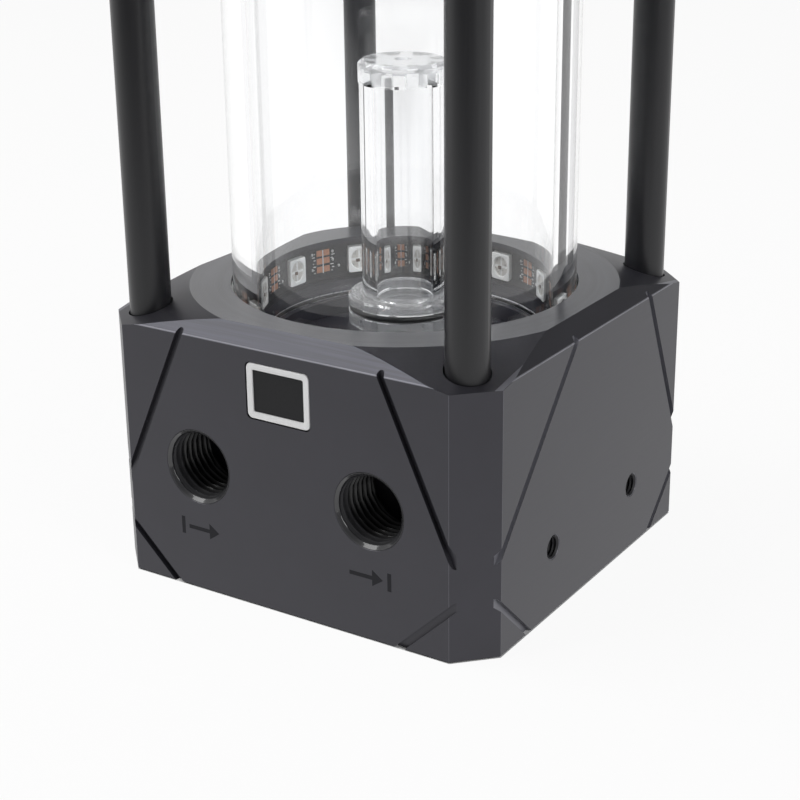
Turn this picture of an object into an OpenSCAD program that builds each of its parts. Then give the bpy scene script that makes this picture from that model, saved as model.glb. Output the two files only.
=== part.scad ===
// Coolant pump reservoir. A clear tube stands between a machined base and a cap, drawn together
// by four rods. A slim canned pump sits in the base. Coolant comes back through the front port
// on the right, rises in the clear riser and leaves it through the windows under its cap, falls
// to the floor of the reservoir, and is drawn through the suction drilling into the pump, which
// drives it out of the front port on the left.

/* [Base and cap] */
// Width of base and cap across their flats
block_w = 76.2; // [74:0.1:96]
// Size of the vertical corner flats, along each side
corner_cut = 6; // [4:0.1:7]
// Height of the base at the flat ring round the tube
ring_z = 49; // [47:0.5:60]
// Radius of the flat ring
ring_r = 37.5; // [36:0.1:46]
// Fall of the cone outside the ring, per unit of radius
crown_fall = 0.287; // [0.1:0.01:0.5]
// Width and height of the 45 degree bevel on each top edge
side_bevel = 2.9; // [1:0.1:4]
// Chamfer on the outer bottom edges
foot_chamfer = 0.2; // [0.1:0.1:1]
// Height of the cap
cap_h = 24; // [22:0.5:40]

/* [Side grooves] */
// Width of the decorative grooves
groove_w = 1.3; // [0.8:0.1:2]
// Depth of the decorative grooves
groove_depth = 0.9; // [0.5:0.1:1.5]

/* [Reservoir tube] */
// Outer diameter of the reservoir tube
tube_d = 60; // [54:0.5:62]
// Wall of the reservoir tube
tube_wall = 4; // [3:0.5:6]
// Length of the reservoir tube
tube_l = 150; // [100:5:300]
// Depth of tube inside base and cap
tube_seat = 10.4; // [9.8:0.1:12]
// Radial gap between the tube and its bore
tube_gap = 0.4; // [0.2:0.1:0.8]
// Height of each tube seal under the tube's end
seal_h = 1.6; // [1.2:0.1:2.5]
// Width of each tube seal
seal_w = 2.6; // [2:0.1:3]

/* [Rods] */
// Diameter of the rods
rod_d = 7.1; // [6:0.1:8]
// Distance of each rod's axis from the two sides next to it
rod_inset = 6.75; // [6:0.05:8]
// Depth of the rods inside base and cap, below the ring
rod_seat = 8; // [6:0.5:10]
// Gap round a rod in its counterbore
rod_gap = 0.25; // [0.1:0.05:0.5]
// Thread of the rod screws
rod_screw_d = 4; // [3:0.5:5]

/* [Ports] */
// Major diameter of the port threads
port_d = 13.16; // [10:0.01:14]
// Distance between the two front ports
port_spacing = 34.4; // [32:0.1:40]
// Height of the front ports
port_z = 22.8; // [21.5:0.1:23.5]
// Depth of each threaded port
port_depth = 12; // [10:0.5:13]
// Mouth chamfer of each port
port_chamfer = 0.15; // [0.1:0.05:1]
// Thread of the two holes on the right side
side_hole_d = 4; // [3:0.5:5]
// Distance between the two side holes
side_hole_spacing = 29.5; // [20:0.5:40]
// Height of the side holes
side_hole_z = 12.2; // [8:0.1:16]
// Depth of the side holes
side_hole_depth = 8; // [4:0.5:9]

/* [Riser] */
// Outer diameter of the riser
riser_d = 15; // [12:0.5:18]
// Bore of the riser
riser_bore = 10; // [6:0.5:11]
// Top of the riser tube
riser_top = 83.6; // [70:0.1:120]
// Diameter of the two flanges at its foot
riser_flange_d = 20; // [17:0.1:22]
// Diameter of the threaded foot
riser_foot_d = 16.4; // [15:0.1:20]
// Number of windows under the riser's cap
windows = 8; // [4:1:12]
// Turn of the first window from the right side
window_turn = 27; // [0:1:45]

/* [Lighting] */
// Width of the lighting strip
strip_w = 6.9; // [6:0.1:8]
// Side of each light package
light_a = 5; // [3.5:0.1:5.5]
// Thickness of each light package
light_t = 1.6; // [1:0.1:2]
// Number of light packages round the ring
lights = 12; // [6:1:18]
// Turn of the first light package from the right side
light_turn = 21; // [0:1:60]

/* [Pump] */
// Distance of the pump's axis behind the middle of the base
pump_y = 6; // [4:0.5:8]
// Diameter of the motor pocket
motor_d = 44; // [42:0.5:48]
// Diameter of the impeller
impeller_d = 26; // [22:0.5:27]
// Number of impeller blades
blades = 7; // [5:1:9]
// Diameter of the pump's fixed shaft
shaft_d = 3; // [2:0.1:4]
// Running gap between shaft and rotor bush, on the radius
shaft_play = 0.03; // [0.02:0.01:0.08]
// Diameter of the rotor magnet
magnet_d = 15.8; // [12:0.1:17]
// Number of stator teeth
teeth = 6; // [6:3:9]

/* [Hidden] */
$fn = 96;
eps = 0.01;

half_w = block_w / 2;

// Tube, its seats and seals
tube_r = tube_d / 2;
tube_bore_r = tube_r + tube_gap;
tube_z0 = ring_z - tube_seat;
tube_z1 = tube_z0 + tube_l;
seat_gap = 0.2;
seat_z = tube_z0 - seat_gap;
seal_r = tube_r - tube_wall / 2;
mid_z = (tube_z0 + tube_z1) / 2;
cap_z0 = tube_z1 - tube_seat;
cap_z1 = cap_z0 + cap_h;
well_r = tube_r - tube_wall - 0.8;
floor_z = seat_z - 2.9;
boss_r = riser_foot_d / 2 + 3.2;
boss_z = seat_z - 1;

// Lighting strip in its groove behind the tube
board_t = 0.3;
light_in_r = tube_bore_r + 0.1;
light_out_r = light_in_r + light_t;
groove_r = light_out_r + board_t + 0.1;
lip_t = 1;
strip_z1 = ring_z - lip_t - 0.1;
strip_z0 = strip_z1 - strip_w;
light_z = (strip_z0 + strip_z1) / 2;
light_back_x = sqrt(pow(light_out_r - 0.04, 2) - pow(light_a / 2, 2));
strip_gap_deg = 4;

// Rods and their screws
rod_x = half_w - rod_inset;
rod_z0 = ring_z - rod_seat;
rod_z1 = 2 * mid_z - rod_z0;
rod_hole_r = rod_d / 2 + rod_gap;
rod_corners = [[-1, -1], [1, -1], [-1, 1], [1, 1]];
screw_bite = 10;
screw_head_h = rod_screw_d;
screw_head_r = 0.875 * rod_screw_d;
screw_play = 0.2;
lower_head_z = 6;
upper_head_z = cap_z1 - screw_head_h - 0.4;

// Riser standing in its socket
socket_z = floor_z - 2;
flange_r = riser_flange_d / 2;
flange_t = 2.1;
riser_seal_d = 1.25;
lower_flange_z = seat_z + 3.4;
upper_flange_z = lower_flange_z + flange_t + riser_seal_d;
upper_flange_t = 1.7;
neck_r = flange_r - riser_seal_d - 0.15;
riser_cap_h = 3.8;
cap_edge = 0.6;
riser_cap_r = riser_d / 2 + 0.15;
window_w = 2.2;
window_h = 2.3;

// Pump, stacked upwards from the cover plate
cover_sink = 0.3;
cover_t = 3;
cover_z1 = cover_sink + cover_t;
cover_r = motor_d / 2 + 5.8;
cover_gap = 0.2;
cover_screw_r = motor_d / 2 + 2.5;
cover_screw_d = 3;
cover_screw_l = 8;
motor_r = motor_d / 2;
fit_gap = 0.1;
skirt_w = 1.7;
core_z0 = cover_z1 + 2.1;
core_h = 9;
core_z1 = core_z0 + core_h;
can_rim_z = core_z1 + 1.9;
can_rim_t = 1.5;
volute_z0 = can_rim_z + can_rim_t;
volute_h = 7;
volute_z1 = volute_z0 + volute_h;
volute_r = impeller_d / 2 + 1;
volute_step = 0.35;
magnet_r = magnet_d / 2;
well_wall = 0.6;
can_in_r = magnet_r + 0.5;
can_out_r = can_in_r + well_wall;
can_z0 = cover_z1 + 1;
can_floor_z = can_z0 + well_wall;
shaft_r = shaft_d / 2;
shaft_z1 = volute_z1 + 1.8;
bush_in_r = shaft_r + shaft_play;
bush_r = shaft_r + 1.4;
rotor_z0 = can_floor_z + 2;
magnet_z1 = can_rim_z + 0.4;
hub_r = bush_r + 1.8;
impeller_r = impeller_d / 2;
disc_z0 = volute_z0 + 0.6;
disc_t = 1.1;
blade_z1 = volute_z1 - 0.5;
blade_t = 1;
tooth_in_r = can_out_r + 0.3;
core_in_r = 16.6;
tooth_w = 3.2;
shoe_t = 1.6;

// Drillings between ports, pump and riser
port_r = port_d / 2;
port_x = port_spacing / 2;
port_end_y = -half_w + port_depth;
duct_r = 2.8;
feed_r = riser_bore / 2 - 1.4;
outlet_r = 3.2;
outlet_z = (volute_z0 + volute_z1) / 2;
outlet_x = -(volute_r + 3 * volute_step) + outlet_r;
riser_feed_z = socket_z - 3;
port_feed_z = port_z + port_r - duct_r - 0.6;
suction_r = 2.6;
suction_y = pump_y + 12;
eye_y = pump_y + 5;
cable_z = 9;
cable_r = 3.2;
wire_r = 1.3;

// Badge recess in the front
badge_w = 12.4;
badge_h = 9.6;
badge_z = 38.9;
badge_t = 0.6;
badge_corner = 1;

// Fill plug in the cap
plug_head_r = 9;
plug_head_h = 4;
plug_l = 9.5;
plug_play = 0.25;
plug_seal_t = 1.6;

// A square of side w with its corners cut off at 45 degrees
module cut_square(w, cut) {
    h = w / 2;
    polygon([[h, cut - h], [h, h - cut], [h - cut, h], [cut - h, h],
        [-h, h - cut], [-h, cut - h], [cut - h, -h], [h - cut, -h]]);
}

// Side view of a block, with a chamfered foot and a bevelled top edge
module side_view(half, foot, height, bevel) {
    polygon([[foot - half, 0], [half - foot, 0], [half, foot], [half, height - bevel],
        [half - bevel, height], [bevel - half, height], [-half, height - bevel], [-half, foot]]);
}

// Side view carried straight through the block, turned to a side or a corner
module passed(turn, half, foot, height, bevel) {
    rotate([90, 0, turn]) translate([0, 0, -block_w])
        linear_extrude(2 * block_w) side_view(half, foot, height, bevel);
}

// Outer form of base and cap: flat ring, cone to the corners, bevels to the sides
module crowned_block(height) {
    corner_half = (block_w - corner_cut) / sqrt(2);
    intersection() {
        linear_extrude(height) cut_square(block_w, corner_cut);
        cylinder(h = height, r1 = ring_r + height / crown_fall, r2 = ring_r, $fn = 180);
        passed(0, half_w, foot_chamfer, height, side_bevel);
        passed(90, half_w, foot_chamfer, height, side_bevel);
        passed(45, corner_half, foot_chamfer, height, 0);
        passed(135, corner_half, foot_chamfer, height, 0);
    }
}

// Round-ended slot in the front side, between two points of that side
module groove(p, q) {
    run = norm(q - p);
    translate([p.x, -half_w, p.y]) rotate([0, -atan2(q.y - p.y, q.x - p.x), 0]) {
        translate([0, -1, -groove_w / 2]) cube([run, groove_depth + 1, groove_w]);
        for (x = [0, run]) translate([x, groove_depth, 0]) rotate([90, 0, 0])
            cylinder(h = groove_depth + 1, d = groove_w, $fn = 24);
    }
}

// The four grooves of one side: two from the top edge to the corners, two across the foot.
// left_run is how far the left one starts from the left corner of the side.
module side_grooves(left_run) {
    side = half_w - corner_cut;
    top = ring_z - side_bevel + 0.2;
    groove([left_run - half_w, top], [-side - 0.9, 17]);
    groove([half_w - 18.4, top], [side + 0.9, 17]);
    groove([-side - 0.9, 9.9], [-22.4, -0.3]);
    groove([side + 0.9, 9.9], [22.4, -0.3]);
}

// Threaded port with a mouth chamfer, drilled along +Y from the origin
module port_cut(depth) {
    rotate([-90, 0, 0]) {
        translate([0, 0, -eps]) cylinder(h = depth, r = port_r);
        translate([0, 0, -eps]) cylinder(h = port_chamfer, r1 = port_r + port_chamfer, r2 = port_r);
    }
}

// Straight drilling between two points
module drilling(a, b, r) {
    d = b - a;
    translate(a) rotate([0, acos(d.z / norm(d)), atan2(d.y, d.x)]) cylinder(h = norm(d), r = r, $fn = 48);
}

// Spiral outline of the volute: four quarter circles, each larger than the one before it
module volute_outline() {
    function centre(k) = k == 0 ? [0, 0]
        : centre(k - 1) - 2 * volute_step * [cos(180 + 90 * k), sin(180 + 90 * k)] / 2;
    circle(r = volute_r - 1);
    for (k = [0:3]) {
        a = 180 + 90 * k;
        far = 2 * volute_r;
        translate(centre(k)) intersection() {
            circle(r = volute_r + k * volute_step);
            polygon([[0, 0], far * [cos(a), sin(a)], far * [cos(a) + cos(a + 90), sin(a) + sin(a + 90)],
                far * [cos(a + 90), sin(a + 90)]]);
        }
    }
}

// Ring of rectangular section, between two radii and two heights
module band(r0, r1, z0, z1) {
    translate([0, 0, z0]) difference() {
        cylinder(h = z1 - z0, r = r1);
        translate([0, 0, -1]) cylinder(h = z1 - z0 + 2, r = r0);
    }
}

// Bore of the reservoir in base or cap, with lighting groove left out, ring face up at ring_z
module tube_bore() {
    translate([0, 0, seat_z]) cylinder(h = ring_z, r = tube_bore_r, $fn = 144);
    band(seal_r - seal_w / 2, seal_r + seal_w / 2, tube_z0 - seal_h, ring_z - 1);
}

module rod_holes() {
    for (c = rod_corners) translate([c.x * rod_x, c.y * rod_x, 0]) {
        translate([0, 0, rod_z0]) cylinder(h = ring_z, r = rod_hole_r, $fn = 48);
        translate([0, 0, -1]) cylinder(h = ring_z, r = rod_screw_d / 2 + screw_play, $fn = 32);
    }
}

module base_block() color([0.12, 0.12, 0.13]) difference() {
    crowned_block(ring_z);
    // Reservoir floor, tube seat and riser socket
    tube_bore();
    difference() {
        translate([0, 0, floor_z]) cylinder(h = ring_z, r = well_r);
        translate([0, 0, floor_z - 1]) cylinder(h = boss_z - floor_z + 1, r = boss_r);
    }
    translate([0, 0, socket_z]) cylinder(h = ring_z, r = riser_foot_d / 2 + 0.05);
    translate([0, 0, riser_feed_z - duct_r - 0.6]) cylinder(h = ring_z, r = feed_r, $fn = 48);
    // Groove of the lighting strip and its wire duct
    band(tube_r, groove_r, strip_z0 - 0.1, strip_z1 + 0.1);
    translate([0, groove_r - wire_r, cable_z]) cylinder(h = strip_z0 - cable_z, r = wire_r, $fn = 32);
    // Rod holes with screw head pockets below
    rod_holes();
    for (c = rod_corners) translate([c.x * rod_x, c.y * rod_x, -1])
        cylinder(h = lower_head_z + 1, r = screw_head_r + 0.3, $fn = 48);
    // Ports and drillings
    for (s = [-1, 1]) translate([s * port_x, -half_w, port_z]) port_cut(port_depth);
    drilling([outlet_x, pump_y, outlet_z], [outlet_x, port_end_y - 1.5, outlet_z], outlet_r);
    drilling([port_x, port_end_y - 1.5, port_feed_z], [0, 0, riser_feed_z], duct_r);
    drilling([0, suction_y, floor_z + 1], [0, eye_y, volute_z1 - 1], suction_r);
    // Tapped holes in the right side
    for (s = [-1, 1]) translate([half_w + eps, s * side_hole_spacing / 2, side_hole_z]) rotate([0, -90, 0]) {
        cylinder(h = side_hole_depth, d = side_hole_d, $fn = 32);
        cylinder(h = 0.25, d1 = side_hole_d + 0.5, d2 = side_hole_d, $fn = 32);
    }
    // Pump chamber and motor pocket
    translate([0, pump_y, 0]) {
        translate([0, 0, volute_z0 - eps]) linear_extrude(volute_h + eps) volute_outline();
        translate([0, 0, volute_z0]) cylinder(h = shaft_z1 - volute_z0 + 0.2, r = shaft_r + 0.03, $fn = 32);
        translate([0, 0, -1]) cylinder(h = volute_z0 + 1, r = motor_r);
        translate([0, 0, -1]) cylinder(h = cover_z1 + 1, r = cover_r + cover_gap);
        for (a = [45:90:315]) rotate(a) translate([cover_screw_r, 0, 0])
            cylinder(h = cover_sink + cover_screw_l + 2, d = cover_screw_d, $fn = 32);
    }
    translate([0, pump_y, cable_z]) rotate([-90, 0, 0]) cylinder(h = block_w, r = cable_r, $fn = 48);
    // Badge recess
    translate([0, -half_w + badge_t, badge_z]) rotate([90, 0, 0]) linear_extrude(2) badge_outline(0.15);
    // Grooves on the four sides
    for (turn = [0, 180]) rotate(turn) side_grooves(18.4);
    for (turn = [90, 270]) rotate(turn) side_grooves(30.2);
}

module top_cap() color([0.12, 0.12, 0.13]) difference() {
    translate([0, 0, cap_z1]) mirror([0, 0, 1]) crowned_block(cap_h);
    translate([0, 0, 2 * mid_z]) mirror([0, 0, 1]) {
        tube_bore();
        rod_holes();
    }
    for (c = rod_corners) translate([c.x * rod_x, c.y * rod_x, upper_head_z])
        cylinder(h = cap_h, r = screw_head_r + 0.3, $fn = 48);
    translate([0, 0, cap_z1]) rotate([-90, 0, 0]) port_cut(2 * cap_h);
}

module badge_outline(grow) {
    w = badge_w / 2 + grow - badge_corner;
    h = badge_h / 2 + grow - badge_corner;
    square([2 * w, 2 * (h + badge_corner)], center = true);
    square([2 * (w + badge_corner), 2 * h], center = true);
    for (x = [-w, w], y = [-h, h]) translate([x, y]) circle(r = badge_corner, $fn = 32);
}

module badge_plate() color([0.75, 0.75, 0.78])
    translate([0, -half_w + badge_t, badge_z]) rotate([90, 0, 0])
        linear_extrude(badge_t - 0.05) badge_outline(0);

module reservoir_tube() color([0.8, 0.9, 1, 0.3])
    translate([0, 0, tube_z0]) difference() {
        cylinder(h = tube_l, r = tube_r, $fn = 144);
        translate([0, 0, -1]) cylinder(h = tube_l + 2, r = tube_r - tube_wall, $fn = 144);
    }

// Flat seal pressed under one end of the tube
module tube_seal() color([0.05, 0.05, 0.05])
    band(seal_r - seal_w / 2 + 0.1, seal_r + seal_w / 2 - 0.1, tube_z0 - seal_h, tube_z0);

module tube_seal_lower() tube_seal();

module tube_seal_upper() translate([0, 0, 2 * mid_z]) mirror([0, 0, 1]) tube_seal();

// Clear riser: tube, two flanges with the seal between them, and a foot in the socket
module riser_tube() color([0.85, 0.92, 1, 0.35]) difference() {
    union() {
        translate([0, 0, socket_z]) cylinder(h = lower_flange_z - socket_z + eps, d = riser_foot_d);
        translate([0, 0, lower_flange_z]) cylinder(h = flange_t, r = flange_r);
        translate([0, 0, lower_flange_z]) cylinder(h = riser_top - lower_flange_z, d = riser_d);
        translate([0, 0, lower_flange_z]) cylinder(h = upper_flange_z - lower_flange_z + eps, r = neck_r);
        translate([0, 0, upper_flange_z]) cylinder(h = upper_flange_t - 0.4, r = flange_r);
        translate([0, 0, upper_flange_z + upper_flange_t - 0.4])
            cylinder(h = 0.4, r1 = flange_r, r2 = flange_r - 0.4);
    }
    translate([0, 0, socket_z - 1]) cylinder(h = riser_top, d = riser_bore, $fn = 48);
}

module riser_seal() color([0.04, 0.04, 0.04])
    translate([0, 0, upper_flange_z - riser_seal_d / 2])
        rotate_extrude() translate([flange_r - 0.1 - riser_seal_d / 2, 0])
            circle(d = riser_seal_d - 0.02, $fn = 24);

// Clear cap on the riser, a disc on short posts with windows between them
module riser_cap() color([0.85, 0.92, 1, 0.35]) difference() {
    translate([0, 0, riser_top]) rotate_extrude() polygon([[0, 0], [riser_cap_r, 0],
        [riser_cap_r, riser_cap_h - cap_edge], [riser_cap_r - cap_edge, riser_cap_h], [0, riser_cap_h]]);
    translate([0, 0, riser_top - 1]) cylinder(h = window_h + 1, d = riser_bore, $fn = 48);
    for (k = [0:windows - 1]) rotate(window_turn + k * 360 / windows)
        translate([0, -window_w / 2, riser_top - 1]) cube([riser_d, window_w, window_h + 1]);
    translate([0, 0, riser_top + riser_cap_h - 0.5]) cylinder(h = 1, r1 = 0.9, r2 = 2.1, $fn = 48);
}

module led_strip() color([0.07, 0.07, 0.08])
    translate([0, 0, strip_z0]) rotate(90 + strip_gap_deg / 2)
        rotate_extrude(angle = 360 - strip_gap_deg, $fn = 144)
            translate([light_out_r, 0]) square([board_t, strip_w]);

// White light packages on the strip, each with a round light-giving window
module led_packages() color([0.92, 0.92, 0.88])
    for (k = [0:lights - 1]) rotate(light_turn + k * 360 / lights)
        translate([light_in_r, -light_a / 2, light_z - light_a / 2]) difference() {
            cube([light_back_x - light_in_r, light_a, light_a]);
            translate([-1, light_a / 2, light_a / 2]) rotate([0, 90, 0])
                cylinder(h = 1.25, d = 0.8 * light_a, $fn = 32);
        }

// Rod with a threaded hole in each end
module rod(x, y) color([0.1, 0.1, 0.11])
    translate([x, y, rod_z0]) difference() {
        cylinder(h = rod_z1 - rod_z0, d = rod_d, $fn = 64);
        for (z = [-1, rod_z1 - rod_z0 - screw_bite - 0.5]) translate([0, 0, z])
            cylinder(h = screw_bite + 1.5, r = rod_screw_d / 2, $fn = 32);
    }

module rod_front_left() rod(-rod_x, -rod_x);

module rod_front_right() rod(rod_x, -rod_x);

module rod_back_left() rod(-rod_x, rod_x);

module rod_back_right() rod(rod_x, rod_x);

// Socket head screw, head seated at the origin and shank along +Z
module socket_screw(shank_r, shank_l, head_r, head_h) {
    difference() {
        translate([0, 0, -head_h]) cylinder(h = head_h, r = head_r, $fn = 48);
        translate([0, 0, -head_h - eps]) cylinder(h = 0.55 * head_h, r = 0.5 * head_r, $fn = 6);
    }
    cylinder(h = shank_l, r = shank_r, $fn = 32);
}

module rod_screws_lower() color([0.2, 0.2, 0.22])
    for (c = rod_corners) translate([c.x * rod_x, c.y * rod_x, lower_head_z])
        socket_screw(rod_screw_d / 2 - 0.1, rod_z0 + screw_bite - lower_head_z, screw_head_r, screw_head_h);

module rod_screws_upper() color([0.2, 0.2, 0.22])
    for (c = rod_corners) translate([c.x * rod_x, c.y * rod_x, upper_head_z]) mirror([0, 0, 1])
        socket_screw(rod_screw_d / 2 - 0.1, upper_head_z - rod_z1 + screw_bite, screw_head_r, screw_head_h);

// Plug of the fill port, with a hex socket and a groove for its seal under the head
module fill_plug() color([0.14, 0.14, 0.15]) translate([0, 0, cap_z1]) difference() {
    union() {
        cylinder(h = plug_head_h - 0.5, r = plug_head_r);
        translate([0, 0, plug_head_h - 0.5]) cylinder(h = 0.5, r1 = plug_head_r, r2 = plug_head_r - 0.5);
        translate([0, 0, -plug_l]) cylinder(h = plug_l + eps, r = port_r - plug_play);
    }
    translate([0, 0, plug_head_h - 3]) cylinder(h = 4, d = 9.2, $fn = 6);
    band(port_r + port_chamfer + 0.1, plug_head_r - 0.6, -eps, plug_seal_t);
}

module fill_plug_seal() color([0.05, 0.05, 0.05]) translate([0, 0, cap_z1])
    band(port_r + port_chamfer + 0.15, plug_head_r - 0.65, 0, plug_seal_t);

// Plate that closes the motor pocket, with a raised rim under the stator
module pump_cover() color([0.12, 0.12, 0.13]) translate([0, pump_y, 0]) difference() {
    union() {
        translate([0, 0, cover_sink]) cylinder(h = cover_t, r = cover_r, $fn = 144);
        band(motor_r - fit_gap - skirt_w, motor_r - fit_gap, cover_z1 - eps, core_z0);
    }
    for (a = [45:90:315]) rotate(a) translate([cover_screw_r, 0, 0]) {
        translate([0, 0, -1]) cylinder(h = cover_t + 4, r = cover_screw_d / 2 + 0.1, $fn = 32);
        translate([0, 0, cover_sink - eps]) cylinder(h = 1.65, r1 = 3.15, r2 = 1.5, $fn = 32);
    }
}

// Countersunk screws of the pump cover
module cover_screws() color([0.6, 0.6, 0.62]) translate([0, pump_y, cover_sink + 0.1])
    for (a = [45:90:315]) rotate(a) translate([cover_screw_r, 0, 0]) difference() {
        union() {
            cylinder(h = 1.5, r1 = 2.9, r2 = 1.4, $fn = 32);
            cylinder(h = cover_screw_l, r = cover_screw_d / 2 - 0.1, $fn = 32);
        }
        translate([0, 0, -eps]) cylinder(h = 1.2, r = 1.1, $fn = 6);
    }

// Thin-walled can that keeps the coolant off the stator
module motor_can() color([0.7, 0.7, 0.72]) translate([0, pump_y, 0]) difference() {
    union() {
        translate([0, 0, can_rim_z]) cylinder(h = can_rim_t, r = motor_r - fit_gap);
        band(motor_r - fit_gap - skirt_w, motor_r - fit_gap, core_z1, can_rim_z + eps);
        translate([0, 0, can_z0]) cylinder(h = can_rim_z - can_z0 + eps, r = can_out_r);
    }
    difference() {
        translate([0, 0, can_floor_z]) cylinder(h = volute_z1, r = can_in_r);
        translate([0, 0, can_floor_z - 1]) cylinder(h = 2.4, r = bush_r + 0.8, $fn = 48);
    }
    translate([0, 0, can_z0 + 0.3]) cylinder(h = volute_z1, r = shaft_r + 0.01, $fn = 48);
    band(motor_r - 3.2, motor_r - 1.4, volute_z0 - 0.9, volute_z0 + 1);
}

module can_seal() color([0.05, 0.05, 0.05]) translate([0, pump_y, 0])
    band(motor_r - 3.1, motor_r - 1.5, volute_z0 - 0.9, volute_z0);

// Laminated ring with teeth that face the can
module stator_core() color([0.45, 0.45, 0.48]) translate([0, pump_y, core_z0]) linear_extrude(core_h) {
    difference() {
        circle(r = motor_r - fit_gap);
        circle(r = core_in_r);
    }
    difference() {
        for (k = [0:teeth - 1]) rotate(k * 360 / teeth) {
            translate([tooth_in_r, -tooth_w / 2]) square([core_in_r - tooth_in_r + 1, tooth_w]);
            intersection() {
                circle(r = tooth_in_r + shoe_t);
                translate([0, -3.6]) square([tooth_in_r + shoe_t, 7.2]);
            }
        }
        circle(r = tooth_in_r);
    }
}

// Copper winding round each tooth
module stator_coils() color([0.75, 0.42, 0.2]) translate([0, pump_y, core_z0])
    for (k = [0:teeth - 1]) rotate(k * 360 / teeth) translate([tooth_in_r + shoe_t + 0.2, 0, core_h / 2])
        rotate([0, 90, 0]) linear_extrude(core_in_r - tooth_in_r - shoe_t - 0.6) difference() {
            square([core_h + 2.8, tooth_w + 2.8], center = true);
            square([core_h + 0.1, tooth_w + 0.1], center = true);
        }

// Round board that drives the stator
module driver_board() color([0.1, 0.3, 0.15]) translate([0, pump_y, 0])
    band(can_out_r + 0.4, motor_r - fit_gap - skirt_w - 0.2, cover_z1, cover_z1 + 0.6);

module pump_shaft() color([0.9, 0.9, 0.88]) translate([0, pump_y, can_z0 + 0.3])
    cylinder(h = shaft_z1 - can_z0 - 0.3, r = shaft_r, $fn = 48);

// Carbon bush that runs on the shaft inside magnet and impeller
module rotor_bush() color([0.15, 0.15, 0.16]) translate([0, pump_y, 0])
    band(bush_in_r, bush_r, rotor_z0, blade_z1 - 0.3);

module rotor_magnet() color([0.25, 0.25, 0.27]) translate([0, pump_y, 0])
    band(bush_r, magnet_r, rotor_z0, magnet_z1);

// Blade outline: a crescent strip of constant thickness, curved back from hub to tip
module blade_outline() {
    bend_r = 0.62 * impeller_r;
    intersection() {
        translate([bend_r * 0.98, -bend_r * 0.42]) difference() {
            circle(r = bend_r + blade_t / 2);
            circle(r = bend_r - blade_t / 2);
        }
        difference() {
            circle(r = impeller_r - 0.1);
            circle(r = hub_r - 0.9);
        }
        square(impeller_r);
    }
}

// Impeller: hub, back disc and open blades, stacked on the magnet
module impeller() color([0.85, 0.85, 0.82]) translate([0, pump_y, 0]) {
    band(bush_r, hub_r, magnet_z1, disc_z0);
    band(bush_r, impeller_r, disc_z0, disc_z0 + disc_t);
    translate([0, 0, disc_z0 + disc_t]) linear_extrude(blade_z1 - disc_z0 - disc_t) difference() {
        union() {
            circle(r = hub_r);
            for (k = [0:blades - 1]) rotate(k * 360 / blades) blade_outline();
        }
        circle(r = bush_r);
    }
}

// Rubber ring in the cable outlet at the back
module cable_grommet() color([0.05, 0.05, 0.05]) translate([0, half_w - 6, cable_z]) rotate([-90, 0, 0])
    difference() {
        cylinder(h = 5.7, r = cable_r - 0.05, $fn = 48);
        translate([0, 0, -1]) cylinder(h = 8, r = cable_r - 1.2, $fn = 48);
    }

base_block();
reservoir_tube();
tube_seal_lower();
tube_seal_upper();
top_cap();
riser_tube();
riser_seal();
riser_cap();
led_strip();
led_packages();
rod_front_left();
rod_front_right();
rod_back_left();
rod_back_right();
rod_screws_lower();
rod_screws_upper();
badge_plate();
fill_plug();
fill_plug_seal();
pump_cover();
cover_screws();
motor_can();
can_seal();
stator_core();
stator_coils();
driver_board();
pump_shaft();
rotor_bush();
rotor_magnet();
impeller();
cable_grommet();
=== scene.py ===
import math

import bmesh
import bpy
import numpy as np
from mathutils import Matrix, Vector


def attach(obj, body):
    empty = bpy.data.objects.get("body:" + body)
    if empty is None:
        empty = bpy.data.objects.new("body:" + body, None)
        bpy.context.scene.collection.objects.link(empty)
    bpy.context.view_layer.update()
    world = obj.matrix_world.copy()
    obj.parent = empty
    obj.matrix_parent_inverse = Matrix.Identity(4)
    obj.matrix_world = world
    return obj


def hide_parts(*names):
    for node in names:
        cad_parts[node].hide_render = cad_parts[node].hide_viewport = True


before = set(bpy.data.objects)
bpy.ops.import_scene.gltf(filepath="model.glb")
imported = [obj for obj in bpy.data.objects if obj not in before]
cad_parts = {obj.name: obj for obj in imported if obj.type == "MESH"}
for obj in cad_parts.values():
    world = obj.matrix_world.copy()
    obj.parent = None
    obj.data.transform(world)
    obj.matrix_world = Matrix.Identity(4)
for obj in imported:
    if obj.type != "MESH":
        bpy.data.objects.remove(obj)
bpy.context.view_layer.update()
MM = 0.001

# ---- Camera -----------------------------------------------------------------------------------
# A long lens that looks down on the front right corner of the base, and cuts off the upper half of
# tube and rods. Its turn, dip and roll are in degrees.
camera_place = Vector((157.34, -244.34, 138.27)) * MM
camera_turn, camera_dip, camera_roll = (math.radians(a) for a in (-31.85, 20.03, -0.24))
forward = Vector((math.sin(camera_turn) * math.cos(camera_dip),
                  math.cos(camera_turn) * math.cos(camera_dip),
                  -math.sin(camera_dip)))
level_right = Vector((math.cos(camera_turn), -math.sin(camera_turn), 0))
level_up = level_right.cross(forward)
right = math.cos(camera_roll) * level_right + math.sin(camera_roll) * level_up
up = -math.sin(camera_roll) * level_right + math.cos(camera_roll) * level_up

lens = bpy.data.cameras.new("camera")
lens.lens, lens.sensor_width = 77.85, 36
lens.shift_x, lens.shift_y = -0.0403, -0.0434
lens.clip_start, lens.clip_end = 0.01, 20
camera = bpy.data.objects.new("camera", lens)
camera.matrix_world = Matrix.Translation(camera_place) @ Matrix((right, up, -forward)).transposed().to_4x4()
bpy.context.collection.objects.link(camera)
bpy.context.scene.camera = camera
bpy.context.scene.view_settings.view_transform = "Standard"


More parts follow.
